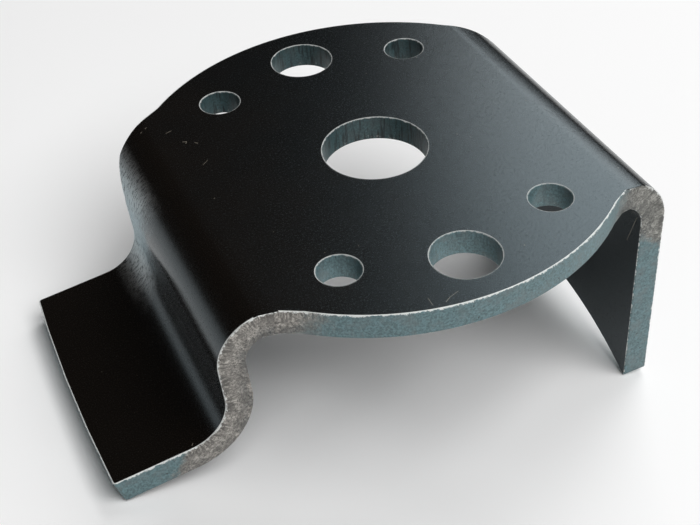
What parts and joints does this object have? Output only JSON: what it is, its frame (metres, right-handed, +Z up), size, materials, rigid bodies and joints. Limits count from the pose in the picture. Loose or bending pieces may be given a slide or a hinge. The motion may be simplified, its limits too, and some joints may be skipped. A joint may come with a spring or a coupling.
{
  "type": "stamped metal bracket",
  "caption": "Mounting bracket folded from steel plate: a round pierced deck, a joggled foot on one side and a square flange coped to saddle a tube on the other.",
  "frame": {"origin": "on the axis of the centre bore, in the top face of the deck", "axes": "+Z up along the centre bore's axis; +X towards the flange that is turned square down; -X towards the joggled foot; -Y towards the side where the foot and the flange reach furthest"},
  "size_m": [0.1372, 0.1164, 0.062],
  "materials": {
    "mill_scale": "oiled hot-rolled mill scale, satin black, with bare ground metal at the cut edges of the folds"
  },
  "bodies": {
    "root": {"bracket": "mill_scale"}
  },
  "joints": []
}
